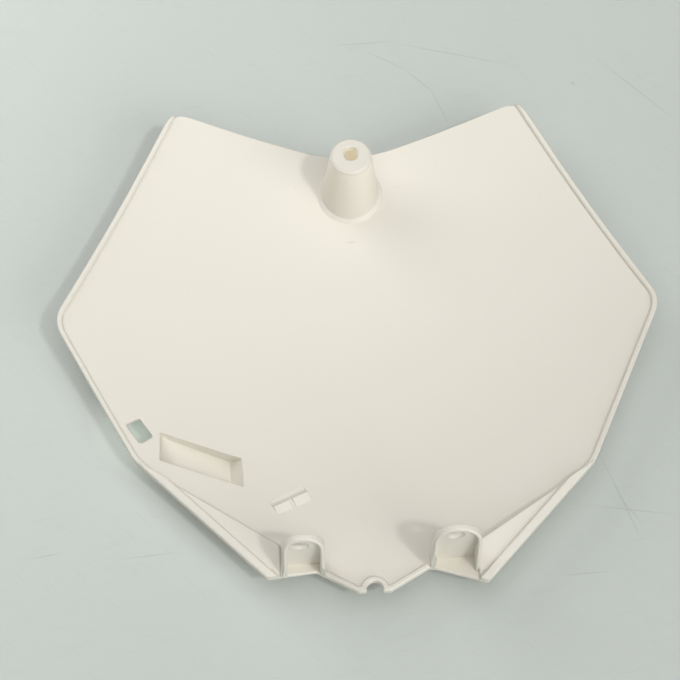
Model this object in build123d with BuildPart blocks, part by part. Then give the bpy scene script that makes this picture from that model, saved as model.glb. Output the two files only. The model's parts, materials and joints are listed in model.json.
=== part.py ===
from build123d import *
from math import acos, atan2, cos, hypot, radians, sin, sqrt, tan
import os

# Racing number board, moulded in one piece from white plastic. Millimetres.
# Built with its back up: X across, Y towards the top edge, Z along the draw of the mould.

# Board: wall, broken edges, bow across and bow along its height, both hollow to the back
WALL = 2.5
EDGE_BREAK = 0.6
BOW_ACROSS = 490.0
BOW_ALONG = 620.0
DRAW_ROOM = 90.0

# Outline corners seen along the draw
HORN_X, HORN_Y = 90.4, 130.0
TOP_DIP_Y = 103.0
EAR_X, EAR_Y = 149.7, 8.4
LEFT_KNEE = (-111.0, -64.0)
LEFT_HEEL = (-49.5, -126.0)
RIGHT_KNEE = (109.0, -74.0)
RIGHT_HEEL = (52.5, -132.5)
FOOT_X, FOOT_Y = 26.5, -123.0
TONGUE_X, TONGUE_Y = 7.4, -134.4
HORN_R = 10.0
TOP_DIP_R = 85.0
EAR_R = 16.0
KNEE_R = 14.0
HEEL_R = 2.5
FOOT_R = 3.0
TONGUE_R = 2.0

# Notch in the tongue
NOTCH_W = 7.8
NOTCH_DEEP = 5.4

# Lip along the sides and the lower edge
LIP_W = 2.6
LIP_H = 1.6
FACET_LIP_W = 4.2

# Hollow boss for the upper screw
BOSS_Y = 86.0
BOSS_TIP_Z = 42.5
BOSS_BASE_R = 15.4
BOSS_TIP_R = 10.3
BOSS_WALL = 2.4
BOSS_END = 3.4
BOSS_FOOT = 1.8
BOSS_EDGE = 1.0
SLOT_X, SLOT_Y = 6.4, 7.8
SLOT_R = 2.6
SLOT_UP = 1.3

# Lower lugs: arched end wall about a middle, two tapering cheeks, and a peg hole off that middle
LEFT_LUG_X, LEFT_LUG_Z = -32.4, 36.2
RIGHT_LUG_X, RIGHT_LUG_Z = 37.6, 38.9
LEFT_ARCH_R, RIGHT_ARCH_R = 9.4, 10.9
LEFT_PEG_X, LEFT_PEG_Z = -34.2, 36.0
RIGHT_PEG_X, RIGHT_PEG_Z = 36.2, 42.2
LUG_FACE_Y = -118.5
LUG_WALL = 2.0
LUG_SPLAY = 0.4
LUG_DEEP = 8.0
LUG_TOP_DEEP = 0.5
LUG_FOOT_Z = 8.0
PEG_R = 4.4

# Raised lower facets between crease and edge, with the inner end of each crease
LEFT_RISE = 2.0
RIGHT_RISE = 5.5
LEFT_CREASE_END = (-43.0, -109.0)
RIGHT_CREASE_END = (48.5, -113.0)

# Hose window beside the left lower edge
WINDOW_POS = (-108.3, -47.8)
WINDOW_L, WINDOW_W = 12.2, 7.4
WINDOW_TURN = -56.0
WINDOW_R = 1.6

# Hose pocket pressed out towards the front, its near end set from the window, its sides aslant
POCKET_GAP_X, POCKET_GAP_Y = 9.6, 8.1
POCKET_L, POCKET_W = 39.4, 15.2
POCKET_SLANT = -18.8
POCKET_DEEP_L, POCKET_DEEP_R = 6.5, 9.0
POCKET_RAMP_R = 9.0
POCKET_END_RUN = 6.5
POCKET_END_R = 1.5

# Rest for the hose: a shallow groove, and below it two pads with a sloping face
REST_POS = (-37.5, -83.6)
REST_TURN = 26.0
REST_L = 18.5
GROOVE_W, GROOVE_DEEP = 3.3, 0.8
PAD_W, PAD_H = 5.4, 1.5
PAD_BACK = 0.9
PAD_GAP = 1.6

os.makedirs("parts", exist_ok=True)


def bowl(below, above):
    """Slab that follows the hollow back face, from below it to above it."""
    reach = HORN_Y + 2 * FOOT_X
    top_plane = Plane(origin=(0, 0, 2 * BOW_ACROSS), x_dir=(0, 1, 0), z_dir=(-1, 0, 0))
    with BuildPart() as slab:
        with BuildSketch(top_plane):
            with Locations((0, BOW_ALONG)):
                Circle(BOW_ALONG + below)
                Circle(BOW_ALONG - above, mode=Mode.SUBTRACT)
            Rectangle(2 * reach, BOW_ALONG, mode=Mode.INTERSECT)
        revolve(axis=Axis((0, 0, BOW_ACROSS), (0, 1, 0)))
    return slab.part


def back_z(x, y):
    """Height of the hollow back face over a point of the outline plane."""
    radius = BOW_ACROSS - (BOW_ALONG - sqrt(BOW_ALONG**2 - y**2))
    return BOW_ACROSS - sqrt(radius**2 - x**2)


def above_back(edge):
    """Height of an edge above the hollow back face, the lower of its start and its middle."""
    return min(point.Z - back_z(point.X, point.Y) for point in edge.positions((0, 0.5)))


def along_rim(edge):
    """True for an edge that keeps its distance from the outline, seen along the draw."""
    ends = [Vertex(point.X, point.Y, 0) for point in edge.positions((0.1, 0.9))]
    gaps = [outline.face().outer_wire().distance_to(end) for end in ends]
    return abs(gaps[0] - gaps[1]) < EDGE_BREAK / 10


def corner(sketch, x, y):
    """Corner of a sketch that lies at a given point."""
    return sketch.vertices().sort_by_distance((x, y, 0))[0]


def arch(plane, lug_x, lug_z, half_foot, radius):
    """Face of a lug: straight sides from its foot into a round top about its middle."""
    drop = lug_z - LUG_FOOT_Z
    lean = acos(radius / hypot(half_foot, drop)) - atan2(drop, half_foot)
    side_x = radius * cos(lean)
    side_z = lug_z + radius * sin(lean)
    with BuildSketch(plane) as face:
        with BuildLine():
            Polyline(
                (lug_x + side_x, side_z),
                (lug_x + half_foot, LUG_FOOT_Z),
                (lug_x - half_foot, LUG_FOOT_Z),
                (lug_x - side_x, side_z),
            )
            ThreePointArc((lug_x - side_x, side_z), (lug_x, lug_z + radius), (lug_x + side_x, side_z))
        make_face()
    return face.sketch


# Outline seen along the draw, with its corners rounded one by one
with BuildSketch() as outline:
    with BuildLine():
        Polyline(
            (-HORN_X, HORN_Y),
            (0, TOP_DIP_Y),
            (HORN_X, HORN_Y),
            (EAR_X, EAR_Y),
            RIGHT_KNEE,
            RIGHT_HEEL,
            (FOOT_X, FOOT_Y),
            (TONGUE_X, TONGUE_Y),
            (-TONGUE_X, TONGUE_Y),
            (-FOOT_X, FOOT_Y),
            LEFT_HEEL,
            LEFT_KNEE,
            (-EAR_X, EAR_Y),
            close=True,
        )
    make_face()
    fillet(corner(outline, 0, TOP_DIP_Y), TOP_DIP_R)
    for side in (-1, 1):
        fillet(corner(outline, side * HORN_X, HORN_Y), HORN_R)
        fillet(corner(outline, side * EAR_X, EAR_Y), EAR_R)
        fillet(corner(outline, side * FOOT_X, FOOT_Y), FOOT_R)
        fillet(corner(outline, side * TONGUE_X, TONGUE_Y), TONGUE_R)
    for knee in (LEFT_KNEE, RIGHT_KNEE):
        fillet(corner(outline, *knee), KNEE_R)
    for heel in (LEFT_HEEL, RIGHT_HEEL):
        fillet(corner(outline, *heel), HEEL_R)
    with Locations((0, TONGUE_Y)):
        SlotOverall(2 * NOTCH_DEEP, NOTCH_W, rotation=90, mode=Mode.SUBTRACT)

# Where the lip along the edge runs out at the horns
side_dir = (Vector(HORN_X, HORN_Y) - Vector(EAR_X, EAR_Y)).normalized()
lip_end = Vector(HORN_X, HORN_Y) + Vector(-side_dir.Y, side_dir.X) * LIP_W
lip_above = lip_end + side_dir * HORN_R
lip_below = lip_end - side_dir * HORN_R


def lip_band(width):
    """Band of a given width along the edge, left out on the top edge and in the lugs."""
    with BuildSketch() as band:
        add(outline.sketch)
        offset(outline.sketch, amount=-width, mode=Mode.SUBTRACT)
        with BuildLine():
            Polyline(
                (-lip_above.X, lip_above.Y),
                (-lip_below.X, lip_below.Y),
                (0, TOP_DIP_Y - HORN_R),
                (lip_below.X, lip_below.Y),
                (lip_above.X, lip_above.Y),
                close=True,
            )
        make_face(mode=Mode.SUBTRACT)
        for lug_x, arch_r in ((LEFT_LUG_X, LEFT_ARCH_R), (RIGHT_LUG_X, RIGHT_ARCH_R)):
            with Locations((lug_x, FOOT_Y)):
                Rectangle(2 * (arch_r + LUG_SPLAY), 2 * LUG_DEEP + LUG_WALL, mode=Mode.SUBTRACT)
    return band.sketch


# Facets: each a sloping plate outside its crease, hollow in front, with the lip along its edge
far_y = RIGHT_HEEL[1] - DRAW_ROOM
facet_regions = []
facet_plates = []
for side, knee, heel, crease_end, rise in (
    (-1, LEFT_KNEE, LEFT_HEEL, Vector(*LEFT_CREASE_END), LEFT_RISE),
    (1, RIGHT_KNEE, RIGHT_HEEL, Vector(*RIGHT_CREASE_END), RIGHT_RISE),
):
    along = (Vector(*knee) - crease_end).normalized()
    outward = Vector(along.Y, -along.X) * side
    crease_out = Vector(*knee) + along * EAR_R
    wall_end = crease_end + outward * WALL + Vector(side * WALL, 0)
    wall_out = crease_out + outward * WALL
    high = Vector(crease_end.X, crease_end.Y, back_z(crease_end.X, crease_end.Y) + rise)
    down_knee = Vector(*knee, back_z(*knee)) - high
    down_heel = Vector(*heel, back_z(*heel)) - high
    top = Plane(origin=high, z_dir=down_heel.cross(down_knee) * side)
    inward = (down_heel - down_knee).normalized().cross(top.z_dir) * side
    lip_edge = high + down_knee + top.z_dir * LIP_H
    outer_break = Plane(origin=lip_edge + inward * EDGE_BREAK, z_dir=top.z_dir - inward)
    inner_break = Plane(origin=lip_edge + inward * (FACET_LIP_W - EDGE_BREAK), z_dir=top.z_dir + inward)
    with BuildSketch() as region:
        with BuildLine():
            Polyline(
                (crease_end.X, crease_end.Y),
                (crease_out.X, crease_out.Y),
                (crease_out.X, far_y),
                (crease_end.X, far_y),
                close=True,
            )
        make_face()
        add(outline.sketch, mode=Mode.INTERSECT)
    with BuildSketch() as inner:
        add(region.sketch)
        with BuildLine():
            Polyline(
                (wall_end.X, wall_end.Y),
                (wall_out.X, wall_out.Y),
                (crease_out.X, far_y),
                (crease_end.X + side * WALL, far_y),
                close=True,
            )
        make_face(mode=Mode.INTERSECT)
    with BuildSketch() as rim_band:
        add(region.sketch)
        add(lip_band(FACET_LIP_W), mode=Mode.INTERSECT)
    with BuildPart() as under:
        add(inner.sketch)
        extrude(amount=DRAW_ROOM, both=True)
        split(bisect_by=top.offset(-WALL), keep=Keep.BOTTOM)
    with BuildPart() as rim:
        add(rim_band.sketch)
        extrude(amount=DRAW_ROOM, both=True)
        split(bisect_by=top.offset(LIP_H), keep=Keep.BOTTOM)
        split(bisect_by=outer_break, keep=Keep.BOTTOM)
        split(bisect_by=inner_break, keep=Keep.BOTTOM)
        split(bisect_by=top.offset(-WALL / 2), keep=Keep.TOP)
    with BuildPart() as plate:
        add(region.sketch)
        extrude(amount=DRAW_ROOM, both=True)
        split(bisect_by=top, keep=Keep.BOTTOM)
        chamfer(plate.faces().sort_by(Axis.Z)[-1].edges().sort_by_distance(high)[:2], EDGE_BREAK)
        add(under.part, mode=Mode.SUBTRACT)
        add(rim.part)
        add(bowl(WALL, DRAW_ROOM), mode=Mode.INTERSECT)
    facet_regions.append(region.sketch)
    facet_plates.append(plate.part)

# Lip on the bowed board
with BuildPart() as lip:
    add(lip_band(LIP_W))
    extrude(amount=DRAW_ROOM, both=True)
    for region in facet_regions:
        extrude(region, amount=DRAW_ROOM, both=True, mode=Mode.SUBTRACT)
    add(bowl(WALL / 2, LIP_H), mode=Mode.INTERSECT)
    along_lip = lip.edges().filter_by(lambda e: e.length > EDGE_BREAK and along_rim(e))
    chamfer(along_lip.filter_by(lambda e: above_back(e) > LIP_H / 2), EDGE_BREAK)

# Lugs: arched shell, cheeks cut back along a slope, peg hole through the end wall
lug_back = Plane.XZ.offset(-LUG_FACE_Y - LUG_WALL)
lug_face = Plane.XZ.offset(-LUG_FACE_Y)
lugs = []
for lug_x, lug_z, arch_r, peg_x, peg_z in (
    (LEFT_LUG_X, LEFT_LUG_Z, LEFT_ARCH_R, LEFT_PEG_X, LEFT_PEG_Z),
    (RIGHT_LUG_X, RIGHT_LUG_Z, RIGHT_ARCH_R, RIGHT_PEG_X, RIGHT_PEG_Z),
):
    half = arch_r + LUG_SPLAY
    slope_top = Vector(lug_x, LUG_FACE_Y - LUG_TOP_DEEP, lug_z + arch_r)
    slope_foot = Vector(lug_x, LUG_FACE_Y - LUG_DEEP, LUG_FOOT_Z + LUG_DEEP)
    slope = Plane(origin=slope_top, x_dir=(1, 0, 0), z_dir=(slope_foot - slope_top).cross(Vector(1, 0, 0)))
    with BuildPart() as lug:
        extrude(arch(lug_back, lug_x, lug_z, half, arch_r), amount=LUG_WALL + LUG_DEEP)
        hollow = arch(lug_face, lug_x, lug_z, half - LUG_WALL, arch_r - LUG_WALL)
        extrude(hollow, amount=LUG_DEEP, mode=Mode.SUBTRACT)
        with BuildSketch(Plane.YZ.offset(lug_x)):
            with BuildLine():
                Polyline(
                    (LUG_FACE_Y + LUG_WALL, 0),
                    (LUG_FACE_Y + LUG_WALL, lug_z + arch_r),
                    (slope_top.Y, slope_top.Z),
                    (slope_foot.Y, slope_foot.Z),
                    (LUG_FACE_Y - LUG_DEEP, 0),
                    close=True,
                )
            make_face()
        extrude(amount=2 * half, both=True, mode=Mode.INTERSECT)
        chamfer(lug.faces().filter_by(slope).edges().filter_by(Axis.X, reverse=True), EDGE_BREAK)
        with Locations(Plane(origin=(peg_x, LUG_FACE_Y, peg_z), x_dir=(1, 0, 0), z_dir=(0, -1, 0))):
            Hole(PEG_R, depth=2 * LUG_WALL)
        extrude(outline.sketch, amount=DRAW_ROOM, mode=Mode.INTERSECT)
        add(bowl(WALL, DRAW_ROOM), mode=Mode.INTERSECT)
    lugs.append(lug.part)

# Hose pocket: side section with a round ramp and a sloping end, within a slanted plan
pocket_l = WINDOW_POS[0] + POCKET_GAP_X
pocket_r = pocket_l + POCKET_L
side_l = WINDOW_POS[1] - POCKET_GAP_Y
side_r = side_l + tan(radians(POCKET_SLANT)) * POCKET_L
floor_l = back_z(pocket_l, side_l) - POCKET_DEEP_L
mouth_r = back_z(pocket_r, side_r)
floor_r = mouth_r - POCKET_DEEP_R
with BuildSketch() as pocket_plan:
    with BuildLine():
        Polyline(
            (pocket_l, side_l + POCKET_W / 2),
            (pocket_r, side_r + POCKET_W / 2),
            (pocket_r, side_r - POCKET_W / 2),
            (pocket_l, side_l - POCKET_W / 2),
            close=True,
        )
    make_face()
with BuildSketch(Plane.XZ.offset(-side_l)) as pocket_side:
    with BuildLine():
        Polyline(
            (pocket_l, DRAW_ROOM),
            (pocket_l, floor_l),
            (pocket_r - POCKET_END_RUN, floor_r),
            (pocket_r, mouth_r),
            (pocket_r, DRAW_ROOM),
            close=True,
        )
    make_face()
    fillet(corner(pocket_side, pocket_l, floor_l), POCKET_RAMP_R)
    fillet(corner(pocket_side, pocket_r - POCKET_END_RUN, floor_r), POCKET_END_R)
with BuildPart() as pocket_skin:
    with BuildSketch():
        offset(pocket_plan.sketch, amount=WALL)
    extrude(amount=DRAW_ROOM, both=True)
    with BuildSketch(Plane.XZ.offset(-side_l)):
        offset(pocket_side.sketch_local, amount=WALL)
    extrude(amount=POCKET_L, both=True, mode=Mode.INTERSECT)
    add(bowl(DRAW_ROOM, 0), mode=Mode.INTERSECT)
with BuildPart() as pocket_room:
    add(pocket_plan.sketch)
    extrude(amount=DRAW_ROOM, both=True)
    extrude(pocket_side.sketch, amount=POCKET_L, both=True, mode=Mode.INTERSECT)

# Hose rest: groove cut into the back face, pads that stand on it, both along one slanting line
rest_middle = Vector(*REST_POS, back_z(*REST_POS))
rest_end = Vector(*REST_POS) + Vector(cos(radians(REST_TURN)), sin(radians(REST_TURN))) * REST_L / 2
rest_low = Vector(*REST_POS) + Vector(sin(radians(REST_TURN)), -cos(radians(REST_TURN))) * PAD_W
rest_along = Vector(rest_end.X, rest_end.Y, back_z(rest_end.X, rest_end.Y)) - rest_middle
rest_down = Vector(rest_low.X, rest_low.Y, back_z(rest_low.X, rest_low.Y)) - rest_middle
rest_plane = Plane(origin=rest_middle, x_dir=rest_down, z_dir=-rest_along)
with BuildPart() as groove:
    with BuildSketch(rest_plane):
        with BuildLine():
            Polyline(
                (0, PAD_H),
                (0, 0),
                (-GROOVE_W / 2, -GROOVE_DEEP),
                (-GROOVE_W, 0),
                (-GROOVE_W, PAD_H),
                close=True,
            )
        make_face()
    extrude(amount=REST_L / 2, both=True)
with BuildPart() as pads:
    with BuildSketch(rest_plane):
        with BuildLine():
            Polyline((0, -WALL / 2), (0, 0), (PAD_BACK, PAD_H), (PAD_W, 0), (PAD_W, -WALL / 2), close=True)
        make_face()
    extrude(amount=REST_L / 2, both=True)
    with BuildSketch(rest_plane):
        with Locations((PAD_W / 2, 0)):
            Rectangle(2 * PAD_W, 2 * PAD_W)
    extrude(amount=PAD_GAP / 2, both=True, mode=Mode.SUBTRACT)

# The board in the frame of its outline
base_z = back_z(0, BOSS_Y) - WALL
with BuildPart() as board:
    add(outline.sketch)
    extrude(amount=DRAW_ROOM, both=True)
    add(bowl(WALL, 0), mode=Mode.INTERSECT)
    chamfer(board.edges().filter_by(Axis.Z, reverse=True), EDGE_BREAK)
    # boss, bevelled into the board, then hollowed from the front
    with BuildSketch(Plane.YZ):
        with BuildLine():
            Polyline(
                (BOSS_Y, base_z),
                (BOSS_Y + BOSS_BASE_R, base_z),
                (BOSS_Y + BOSS_TIP_R, BOSS_TIP_Z),
                (BOSS_Y, BOSS_TIP_Z),
                close=True,
            )
        make_face()
    revolve(axis=Axis((0, BOSS_Y, 0), (0, 0, 1)))
    add(bowl(WALL, DRAW_ROOM), mode=Mode.INTERSECT)
    near_boss = board.edges().filter_by(lambda e: abs(e.center().Y - BOSS_Y) < BOSS_BASE_R + WALL)
    seam_back = near_boss.filter_by(lambda e: abs(e.center().Z - back_z(0, e.center().Y)) < WALL / 2)
    chamfer(seam_back, BOSS_FOOT)
    chamfer(board.edges().filter_by(GeomType.CIRCLE).sort_by(Axis.Z)[-1], BOSS_EDGE)
    with BuildSketch(Plane.YZ):
        with BuildLine():
            Polyline(
                (BOSS_Y, base_z - WALL),
                (BOSS_Y + BOSS_BASE_R - BOSS_WALL, base_z - WALL),
                (BOSS_Y + BOSS_TIP_R - BOSS_WALL, BOSS_TIP_Z - BOSS_END),
                (BOSS_Y, BOSS_TIP_Z - BOSS_END),
                close=True,
            )
        make_face()
    revolve(axis=Axis((0, BOSS_Y, 0), (0, 0, 1)), mode=Mode.SUBTRACT)
    with BuildSketch(Plane.XY.offset(BOSS_TIP_Z)):
        with Locations((0, BOSS_Y + SLOT_UP)):
            RectangleRounded(SLOT_X, SLOT_Y, SLOT_R)
    extrude(amount=-2 * BOSS_END, mode=Mode.SUBTRACT)
    slot_top = board.faces().sort_by(Axis.Z)[-1].inner_wires()
    chamfer(slot_top.edges(), EDGE_BREAK)
    # facets stand in for the board outside the creases
    for region in facet_regions:
        extrude(region, amount=DRAW_ROOM, both=True, mode=Mode.SUBTRACT)
    add(facet_plates)
    add(lip.part)
    add(lugs)
    # hose pocket, window and rest
    add(pocket_skin.part)
    add(pocket_room.part, mode=Mode.SUBTRACT)
    add(groove.part, mode=Mode.SUBTRACT)
    add(pads.part)
    with BuildSketch():
        with Locations(Location(WINDOW_POS, WINDOW_TURN)):
            RectangleRounded(WINDOW_L, WINDOW_W, WINDOW_R)
    extrude(amount=DRAW_ROOM, both=True, mode=Mode.SUBTRACT)
    on_back = board.edges().filter_by(lambda e: abs(above_back(e)) < EDGE_BREAK / 10)
    window_middle = Vector(*WINDOW_POS, back_z(*WINDOW_POS))
    window_back = on_back.filter_by(lambda e: (e.center() - window_middle).length < WINDOW_L / 2 + WALL)
    chamfer(window_back, EDGE_BREAK)

# Lying on its front: middle of its box over the origin, lowest point on the ground
box = board.part.bounding_box()
with BuildPart() as number_board:
    with Locations((-box.center().X, -box.center().Y, -box.min.Z)):
        add(board.part)

number_board.part.label = "number_board"
export_step(number_board.part, "parts/number_board.step")
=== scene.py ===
import json
import math

import bpy
from bpy.props import FloatProperty, FloatVectorProperty, PointerProperty
from mathutils import Euler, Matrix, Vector

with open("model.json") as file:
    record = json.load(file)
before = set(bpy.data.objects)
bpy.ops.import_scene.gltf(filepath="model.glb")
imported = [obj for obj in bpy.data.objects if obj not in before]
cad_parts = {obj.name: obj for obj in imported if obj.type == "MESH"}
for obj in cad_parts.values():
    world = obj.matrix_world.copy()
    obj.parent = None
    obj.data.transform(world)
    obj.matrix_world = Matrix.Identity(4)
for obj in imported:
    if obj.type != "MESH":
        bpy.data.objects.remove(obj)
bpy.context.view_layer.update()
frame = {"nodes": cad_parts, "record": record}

bl_info = {
    "name": "Number Board",
    "version": (1, 0, 0),
    "blender": (4, 5, 0),
    "location": "3D View > Sidebar > Number Board",
    "description": "Dresses a moulded racing number board and sets its stage",
    "category": "Object",
}

BOARD = "number_board"
MOUNTS = {mount["name"]: Vector(mount["pos_m"]) for mount in frame["record"]["mounts"]}
BOSS_TIP = MOUNTS["screw_slot"]
MM = 0.001

# Painted light: the boss's inside, and a little of its outside, get an emission that stands in for light
# coming through its thin wall; the sizes below shape that glow
# Hollow boss: the slot lies above its axis, and the radius amid its wall grows from the tip to the foot
SLOT_UP = 1.3 * MM
BOSS_TIP_R = 9.0 * MM
BOSS_TAPER = 0.145
BOSS_SOFT = 0.4 * MM
BOSS_END = 3.4 * MM
BOSS_WALL = 2.4 * MM
BOSS_HEIGHT = 34.0 * MM
OUTER_GLOW = 0.45

# Height above the table's top at which marks on the board and on the table have faded out
MARK_HEIGHT = 20.0 * MM
BLACK = (0.0, 0.0, 0.0, 1.0)

# Faint marks on the back face: place in millimetres, turn in degrees, half length and half width
HANDLING_MARKS = (
    (-28.2, 93.5, 100.0, 1.1, 0.5),
    (25.1, 91.7, 4.0, 2.8, 0.5),
    (-0.7, 61.8, 2.0, 3.4, 0.7),
    (15.5, 101.8, 80.0, 1.2, 0.5),
    (-84.5, 32.5, 30.0, 0.6, 0.5),
)

# Hairlines on the table, in the same measures
TABLE_HAIRLINES = (
    (13.0, 192.0, 3.0, 22.0, 0.45),
    (62.0, 183.0, -15.0, 47.0, 0.45),
    (25.0, 180.0, -32.0, 18.0, 0.40),
    (42.0, 166.0, -48.0, 17.0, 0.40),
    (52.0, 149.0, -70.0, 16.0, 0.40),
    (159.0, 157.0, -48.0, 38.0, 0.45),
    (126.0, 161.0, 0.0, 1.5, 1.20),
    (123.0, -83.0, -72.0, 29.0, 0.45),
    (126.0, -88.0, -56.0, 12.0, 0.40),
    (102.0, -120.0, 3.0, 15.0, 0.40),
    (128.0, -89.0, -9.0, 27.0, 0.35),
    (-154.0, -100.0, 9.0, 10.0, 0.40),
    (-105.0, -102.0, 5.0, 19.0, 0.35),
)

# Painted light on the table under the board, where the table is seen through the hose window: an emission
# patch, in the same measures
PAINTED_TABLE_GLOW = (-110.0, -36.4, -56.0, 30.0, 24.0)


class PlasticFinish(bpy.types.PropertyGroup):
    """Colours and sizes of the moulded plastic."""

    white: FloatVectorProperty(
        name="White", description="Colour of the plastic", subtype="COLOR",
        default=(0.775, 0.745, 0.665), min=0.0, max=1.0)
    aged: FloatVectorProperty(
        name="Aged white", description="Slightly yellowed colour in slow clouds", subtype="COLOR",
        default=(0.755, 0.722, 0.630), min=0.0, max=1.0)
    scuff: FloatVectorProperty(
        name="Scuff", description="Pale colour inside fine scratches", subtype="COLOR",
        default=(0.83, 0.81, 0.75), min=0.0, max=1.0)
    grime: FloatVectorProperty(
        name="Grime", description="Colour of the small specks", subtype="COLOR",
        default=(0.42, 0.38, 0.31), min=0.0, max=1.0)
    roughness: FloatProperty(
        name="Roughness", description="Roughness of the clean surface", default=0.40, min=0.0, max=1.0)
    # Painted light: colour of the emission inside the boss, standing in for light coming through its thin
    # wall
    glow: FloatVectorProperty(
        name="Glow", description="Light that comes through the thin wall into the boss", subtype="COLOR",
        default=(0.22, 0.195, 0.15), min=0.0, max=1.0)
    soft_edge: FloatProperty(
        name="Soft edge", description="Radius of the moulded edges", default=0.5 * MM, unit="LENGTH")
    grain: FloatProperty(
        name="Grain", description="Size of the mould's fine texture", default=0.6 * MM, unit="LENGTH")
    grain_depth: FloatProperty(
        name="Grain depth", description="Depth of the mould's fine texture", default=0.012 * MM,
        unit="LENGTH")
    cloud: FloatProperty(
        name="Cloud", description="Size of the slow changes of colour", default=90.0 * MM, unit="LENGTH")
    mottle: FloatProperty(
        name="Mottle", description="Size of the small changes of colour", default=14.0 * MM, unit="LENGTH")
    patch: FloatProperty(
        name="Patch", description="Size of the areas that are scuffed", default=45.0 * MM, unit="LENGTH")
    speck_spacing: FloatProperty(
        name="Speck spacing", description="Distance between specks", default=23.0 * MM, unit="LENGTH")
    speck_radius: FloatProperty(
        name="Speck radius", description="Radius of a speck", default=0.45 * MM, unit="LENGTH")
    scuff_amount: FloatProperty(
        name="Scuff amount", description="How much the scuffs show", default=0.35, min=0.0, max=1.0)
    dirt_amount: FloatProperty(
        name="Dirt amount", description="How much the specks and marks show", default=0.6, min=0.0, max=1.0)


class StageSettings(bpy.types.PropertyGroup):
    """Camera, light and table."""

    camera_offset: FloatVectorProperty(
        name="Camera place", description="Camera seen from the boss tip", subtype="TRANSLATION",
        unit="LENGTH", default=(-42.83 * MM, -492.09 * MM, 758.12 * MM))
    camera_turn: FloatVectorProperty(
        name="Camera turn", description="Turn of the camera about X, Y and Z", subtype="EULER",
        unit="ROTATION", default=(math.radians(27.106), math.radians(-0.939), math.radians(-2.900)))
    lens: FloatProperty(
        name="Lens", description="Focal length on a 36 mm sensor, in millimetres", default=94.82)
    key_from: FloatVectorProperty(
        name="Key light", description="Direction of the small lamp", subtype="DIRECTION",
        default=(0.376, -0.381, 0.845))
    key_strength: FloatProperty(
        name="Key strength", description="Strength of the small lamp", default=0.62, min=0.0)
    key_spread: FloatProperty(
        name="Key spread", description="Angle that the small lamp fills", unit="ROTATION",
        default=math.radians(5.0))
    corner_from: FloatVectorProperty(
        name="Corner light", description="Direction of the low lamp at the front right", subtype="DIRECTION",
        default=(0.64, -0.64, 0.43))
    corner_strength: FloatProperty(
        name="Corner strength", description="Strength of the low lamp at the front right", default=1.05,
        min=0.0)
    corner_spread: FloatProperty(
        name="Corner spread", description="Angle that the low lamp at the front right fills",
        unit="ROTATION", default=math.radians(40.0))
    front_from: FloatVectorProperty(
        name="Front light", description="Direction of the broad lamp at the front", subtype="DIRECTION",
        default=(0.0, -0.70, 0.70))
    front_strength: FloatProperty(
        name="Front strength", description="Strength of the broad lamp at the front", default=0.60, min=0.0)
    front_spread: FloatProperty(
        name="Front spread", description="Angle that the broad lamp at the front fills", unit="ROTATION",
        default=math.radians(60.0))
    ceiling_from: FloatVectorProperty(
        name="Ceiling light", description="Direction of the broad lamp overhead", subtype="DIRECTION",
        default=(0.0, 0.0, 1.0))
    ceiling_strength: FloatProperty(
        name="Ceiling strength", description="Strength of the broad lamp overhead", default=1.02, min=0.0)
    ceiling_spread: FloatProperty(
        name="Ceiling spread", description="Angle that the broad lamp overhead fills", unit="ROTATION",
        default=math.radians(60.0))
    window_place: FloatVectorProperty(
        name="Window place", description="Middle of the window's pane", subtype="TRANSLATION", unit="LENGTH",
        default=(-0.55, 0.45, 0.50))
    window_size: FloatProperty(
        name="Window size", description="Length of the pane's side", default=0.6, unit="LENGTH")
    window_power: FloatProperty(
        name="Window power", description="Light of the whole pane", default=2.6, min=0.0, unit="POWER")
    fill: FloatVectorProperty(
        name="Fill", description="Colour of the light from all round", subtype="COLOR",
        default=(1.0, 1.0, 1.0), min=0.0, max=1.0)
    fill_strength: FloatProperty(
        name="Fill strength", description="Strength of the light from all round", default=0.08, min=0.0)
    table: FloatVectorProperty(
        name="Table", description="Colour of the table", subtype="COLOR",
        default=(0.575, 0.612, 0.577), min=0.0, max=1.0)
    # Painted light: colour of the emission patch on the table, standing in for light coming through the
    # board
    table_glow: FloatVectorProperty(
        name="Table glow", description="Light that comes through the board onto the table", subtype="COLOR",
        default=(0.24, 0.275, 0.24), min=0.0, max=1.0)
    table_cloud: FloatProperty(
        name="Table cloud", description="Size of the table's slow changes of colour", default=160.0 * MM,
        unit="LENGTH")
    table_wear: FloatProperty(
        name="Table wear", description="Size of the table's fine wear", default=5.0 * MM, unit="LENGTH")
    table_wear_depth: FloatProperty(
        name="Table wear depth", description="Depth of the table's fine wear", default=0.03 * MM,
        unit="LENGTH")
    table_speck_spacing: FloatProperty(
        name="Table speck spacing", description="Distance between the table's specks", default=17.0 * MM,
        unit="LENGTH")
    table_speck_radius: FloatProperty(
        name="Table speck radius", description="Radius of a speck on the table", default=0.5 * MM,
        unit="LENGTH")
    table_size: FloatProperty(
        name="Table size", description="Length of the table's side", default=40.0, unit="LENGTH")


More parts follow.
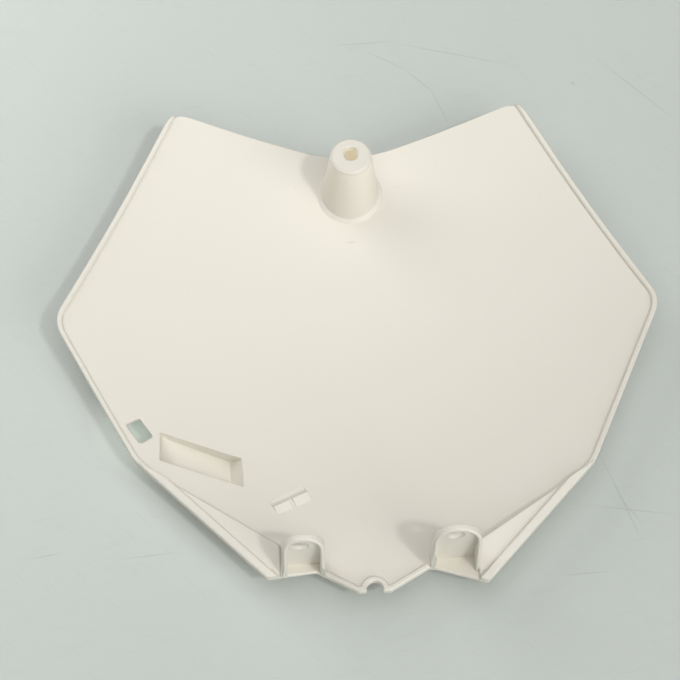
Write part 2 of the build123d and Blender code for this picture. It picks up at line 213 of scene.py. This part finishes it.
class Wire:
    """Output of a node, with arithmetic that adds Math nodes."""

    def __init__(self, tree, socket):
        self.tree = tree
        self.socket = socket

    def math(self, operation, *others):
        node = self.tree.nodes.new("ShaderNodeMath")
        node.operation = operation
        for entry, value in zip(node.inputs, (self, *others)):
            plug(self.tree, entry, value)
        return Wire(self.tree, node.outputs[0])

    def swapped(self, operation, other):
        node = self.tree.nodes.new("ShaderNodeMath")
        node.operation = operation
        plug(self.tree, node.inputs[0], other)
        plug(self.tree, node.inputs[1], self)
        return Wire(self.tree, node.outputs[0])

    def __add__(self, other):
        return self.math("ADD", other)

    def __radd__(self, other):
        return self.math("ADD", other)

    def __sub__(self, other):
        return self.math("SUBTRACT", other)

    def __rsub__(self, other):
        return self.swapped("SUBTRACT", other)

    def __mul__(self, other):
        return self.math("MULTIPLY", other)

    def __rmul__(self, other):
        return self.math("MULTIPLY", other)

    def __truediv__(self, other):
        return self.math("DIVIDE", other)

    def __gt__(self, other):
        return self.math("GREATER_THAN", other)

    def clamp(self):
        node = self.tree.nodes.new("ShaderNodeClamp")
        plug(self.tree, node.inputs[0], self)
        return Wire(self.tree, node.outputs[0])


def plug(tree, entry, value):
    """Links a wire to a socket, or sets the socket's own value."""
    if isinstance(value, Wire):
        tree.links.new(value.socket, entry)
    else:
        entry.default_value = value


class Finish:
    """Node tree of one material."""

    def __init__(self, name):
        self.material = bpy.data.materials.new(name)
        self.material.use_nodes = True
        self.tree = self.material.node_tree
        self.tree.nodes.clear()

    def node(self, kind, settings=None, inputs=None, output=0):
        """Adds a node, sets its settings first, then its sockets, and gives one of its outputs."""
        node = self.tree.nodes.new(kind)
        for key, value in (settings or {}).items():
            setattr(node, key, value)
        for key, value in (inputs or {}).items():
            plug(self.tree, node.inputs[key], value)
        return Wire(self.tree, node.outputs[output]) if node.outputs else None

    def place(self):
        """Place on the object, in metres."""
        return self.node("ShaderNodeTexCoord", output="Object")

    def noise(self, where, size, detail=3.0, rough=0.5, distortion=0.0):
        """Cloud of a given feature size."""
        return self.node("ShaderNodeTexNoise", inputs={
            "Vector": where, "Scale": 1.0 / size, "Detail": detail, "Roughness": rough,
            "Distortion": distortion})

    def blend(self, factor, first, second):
        """Mix of two colours."""
        return self.node("ShaderNodeMix", {"data_type": "RGBA"}, {0: factor, 6: first, 7: second}, output=2)

    def mapped(self, where, turn=0.0, size=(1.0, 1.0, 1.0), start=(0.0, 0.0, 0.0)):
        """Place measured from a start, along turned axes, in units of its own along each of them."""
        moved = self.node("ShaderNodeVectorMath", {"operation": "SUBTRACT"}, {0: where, 1: start})
        turned = self.node("ShaderNodeVectorRotate", {"rotation_type": "Z_AXIS"}, {
            "Vector": moved, "Angle": -math.radians(turn)})
        return self.node("ShaderNodeVectorMath", {"operation": "DIVIDE"}, {0: turned, 1: size})

    def stroke(self, where, place):
        """One in the middle of a short stroke, falling to nothing at its outline."""
        x, y, turn, half_length, half_width = place
        size = (half_length * MM, half_width * MM, MARK_HEIGHT)
        near = self.mapped(where, turn, size, (x * MM, y * MM, 0.0))
        away = self.node("ShaderNodeVectorMath", {"operation": "LENGTH"}, {0: near}, output="Value")
        return (1.0 - away).clamp()

    def strokes(self, where, places):
        """The strongest of several strokes."""
        marks = [self.stroke(where, place) for place in places]
        strongest = marks[0]
        for mark in marks[1:]:
            strongest = strongest.math("MAXIMUM", mark)
        return strongest

    def hairlines(self, where, turn, length, width):
        """Long thin scratches that all run about one way, one where a scratch is deepest."""
        streaks = self.noise(self.mapped(where, turn, (length, width, length)), 1.0, detail=1.0)
        return ((streaks - 0.66) * 9.0).clamp()

    def specks(self, where, spacing, radius):
        """Small round specks strewn at about a given spacing, with half of the places left empty."""
        cells = {"Vector": where, "Scale": 1.0 / spacing}
        away = self.node("ShaderNodeTexVoronoi", {"feature": "F1"}, cells, output="Distance")
        kind = self.node("ShaderNodeTexVoronoi", {"feature": "F1"}, cells, output="Color")
        chosen = self.node("ShaderNodeSeparateColor", inputs={"Color": kind}) > 0.5
        return (1.0 - away * spacing / radius).clamp() * chosen

    def surface(self, **inputs):
        """Principled surface with the given sockets."""
        sockets = {key.replace("_", " "): value for key, value in inputs.items()}
        shader = self.node("ShaderNodeBsdfPrincipled", inputs=sockets)
        self.node("ShaderNodeOutputMaterial", inputs={"Surface": shader})
        return self.material


def colour(rgb):
    """Colour with its alpha."""
    return (*rgb, 1.0)


def painted_boss_glow(made, where):
    """Mask of the painted glow: one on the walls inside the hollow boss, a little on its outside, nothing on
    the board.
    """
    place = made.mapped(where, start=(BOSS_TIP.x, BOSS_TIP.y - SLOT_UP, BOSS_TIP.z))
    axes = made.node("ShaderNodeSeparateXYZ", inputs={"Vector": place})
    tree = axes.tree
    x, y, z = (Wire(tree, axes.socket.node.outputs[axis]) for axis in "XYZ")
    reach = (x * x + y * y).math("SQRT")
    wall_middle = BOSS_TIP_R - z * BOSS_TAPER
    inside = (1.0 - (reach - wall_middle) / BOSS_SOFT).clamp()
    outside = (1.0 - (reach - wall_middle - BOSS_WALL) / BOSS_SOFT).clamp()
    outside = outside * (1.0 + z / BOSS_HEIGHT).clamp()
    return (inside + outside * OUTER_GLOW).clamp() * (0.0 - z / BOSS_END).clamp()


def white_plastic(finish):
    """Moulded white plastic: slow clouds, fine grain, hairline scuffs, specks and a few handling marks, with
    painted light inside the boss as an emission.
    """
    made = Finish("white_plastic")
    where = made.place()
    clouds = made.noise(where, finish.cloud, detail=2.0)
    mottle = made.noise(where, finish.mottle, detail=4.0, rough=0.6)
    grain = made.noise(where, finish.grain, detail=2.0)
    patches = ((made.noise(where, finish.patch, detail=2.0) - 0.5) * 4.0).clamp()
    scuffs = made.hairlines(where, 35.0, 26 * MM, 0.5 * MM) + made.hairlines(where, -62.0, 18 * MM, 0.4 * MM)
    scuffs = (scuffs * patches).clamp()
    specks = made.specks(where, finish.speck_spacing, finish.speck_radius)
    marks = made.strokes(where, HANDLING_MARKS)
    dirt = (specks * 0.5 + marks * 0.7).clamp()
    base = made.blend(clouds * 0.7 + mottle * 0.3, colour(finish.white), colour(finish.aged))
    base = made.blend(scuffs * finish.scuff_amount, base, colour(finish.scuff))
    base = made.blend(dirt * finish.dirt_amount, base, colour(finish.grime))
    height = grain * 0.7 + mottle * 0.3 - scuffs * 0.6
    edges = made.node("ShaderNodeBevel", {"samples": 4}, {"Radius": finish.soft_edge})
    bump = made.node("ShaderNodeBump", inputs={
        "Strength": 1.0, "Distance": finish.grain_depth, "Height": height, "Normal": edges})
    rough = finish.roughness + (clouds - 0.5) * 0.08 + (grain - 0.5) * 0.08 + scuffs * 0.12 + dirt * 0.15
    return made.surface(
        Base_Color=base, Roughness=rough, Normal=bump,
        # Painted light: emission inside the hollow boss stands in for light coming through its thin wall
        Emission_Color=made.blend(painted_boss_glow(made, where), BLACK, colour(finish.glow)),
        Emission_Strength=1.0)


def table_top(stage):
    """Pale painted table with faint clouds, fine wear, hairlines and specks, and a painted pool of light
    under the hose window.
    """
    made = Finish("table_top")
    where = made.place()
    clouds = made.noise(where, stage.table_cloud, detail=3.0)
    wear = made.noise(where, stage.table_wear, detail=4.0, rough=0.65)
    scratches = made.hairlines(where, 12.0, 30 * MM, 0.5 * MM)
    scratches = scratches + made.hairlines(where, -48.0, 22 * MM, 0.5 * MM)
    lines = made.strokes(where, TABLE_HAIRLINES)
    specks = made.specks(where, stage.table_speck_spacing, stage.table_speck_radius)
    deep = tuple(channel * 0.93 for channel in stage.table)
    dark = tuple(channel * 0.72 for channel in stage.table)
    base = made.blend(clouds * 0.75 + wear * 0.25, colour(stage.table), colour(deep))
    base = made.blend((scratches * 0.3 + lines * 0.8 + specks * 0.6).clamp(), base, colour(dark))
    bump = made.node("ShaderNodeBump", inputs={
        "Strength": 1.0, "Distance": stage.table_wear_depth, "Height": wear - scratches - lines})
    # Painted light: an emission patch on the table under the hose window stands in for light coming through
    # the board
    glow = made.blend(made.stroke(where, PAINTED_TABLE_GLOW), BLACK, colour(stage.table_glow))
    return made.surface(
        Base_Color=base, Roughness=0.55 + (wear - 0.5) * 0.1, Normal=bump,
        Emission_Color=glow, Emission_Strength=1.0)


def lamp(scene, name, kind, place, strength):
    """Lamp at a place that looks at the middle of the scene."""
    light = bpy.data.lights.new(name, kind)
    light.energy = strength
    holder = bpy.data.objects.new(name, light)
    holder.location = place
    holder.rotation_euler = Vector(place).to_track_quat("Z", "Y").to_euler()
    scene.collection.objects.link(holder)
    return light


class NUMBERBOARD_OT_dress(bpy.types.Operator):
    """Gives the board its white plastic"""

    bl_idname = "numberboard.dress"
    bl_label = "Dress Board"

    def execute(self, context):
        board = frame["nodes"][BOARD]
        board.data.materials.clear()
        board.data.materials.append(white_plastic(context.scene.plastic_finish))
        return {"FINISHED"}


class NUMBERBOARD_OT_stage(bpy.types.Operator):
    """Lays the table and sets the light and the camera"""

    bl_idname = "numberboard.stage"
    bl_label = "Set Stage"

    def execute(self, context):
        scene = context.scene
        stage = scene.stage_settings
        half = stage.table_size / 2
        mesh = bpy.data.meshes.new("table")
        corners = [(-half, -half, 0), (half, -half, 0), (half, half, 0), (-half, half, 0)]
        mesh.from_pydata(corners, [], [(0, 1, 2, 3)])
        mesh.materials.append(table_top(stage))
        table = bpy.data.objects.new("table", mesh)
        scene.collection.objects.link(table)

        for name in ("key", "corner", "front", "ceiling"):
            place, strength = getattr(stage, name + "_from"), getattr(stage, name + "_strength")
            lamp(scene, name, "SUN", place, strength).angle = getattr(stage, name + "_spread")
        lamp(scene, "window", "AREA", stage.window_place, stage.window_power).size = stage.window_size

        world = bpy.data.worlds.new("fill")
        world.use_nodes = True
        background = world.node_tree.nodes["Background"]
        background.inputs["Color"].default_value = colour(stage.fill)
        background.inputs["Strength"].default_value = stage.fill_strength
        scene.world = world

        lens = bpy.data.cameras.new("camera")
        lens.sensor_width = 36.0
        lens.lens = stage.lens
        camera = bpy.data.objects.new("camera", lens)
        camera.location = BOSS_TIP + Vector(stage.camera_offset)
        camera.rotation_euler = Euler(stage.camera_turn)
        scene.collection.objects.link(camera)
        scene.camera = camera
        scene.view_settings.view_transform = "Standard"
        return {"FINISHED"}


class NUMBERBOARD_PT_panel(bpy.types.Panel):
    """Number board in the sidebar"""

    bl_label = "Number Board"
    bl_space_type = "VIEW_3D"
    bl_region_type = "UI"
    bl_category = "Number Board"

    def draw(self, context):
        for group in (context.scene.plastic_finish, context.scene.stage_settings):
            box = self.layout.box()
            for name in group.__annotations__:
                box.prop(group, name)
        for operator in (NUMBERBOARD_OT_dress, NUMBERBOARD_OT_stage):
            self.layout.operator(operator.bl_idname)


CLASSES = (PlasticFinish, StageSettings, NUMBERBOARD_OT_dress, NUMBERBOARD_OT_stage, NUMBERBOARD_PT_panel)


def register():
    for cls in CLASSES:
        bpy.utils.register_class(cls)
    bpy.types.Scene.plastic_finish = PointerProperty(type=PlasticFinish)
    bpy.types.Scene.stage_settings = PointerProperty(type=StageSettings)


def unregister():
    del bpy.types.Scene.stage_settings
    del bpy.types.Scene.plastic_finish
    for cls in reversed(CLASSES):
        bpy.utils.unregister_class(cls)


def main():
    register()
    bpy.ops.numberboard.dress()
    bpy.ops.numberboard.stage()


if __name__ == "__main__":
    main()
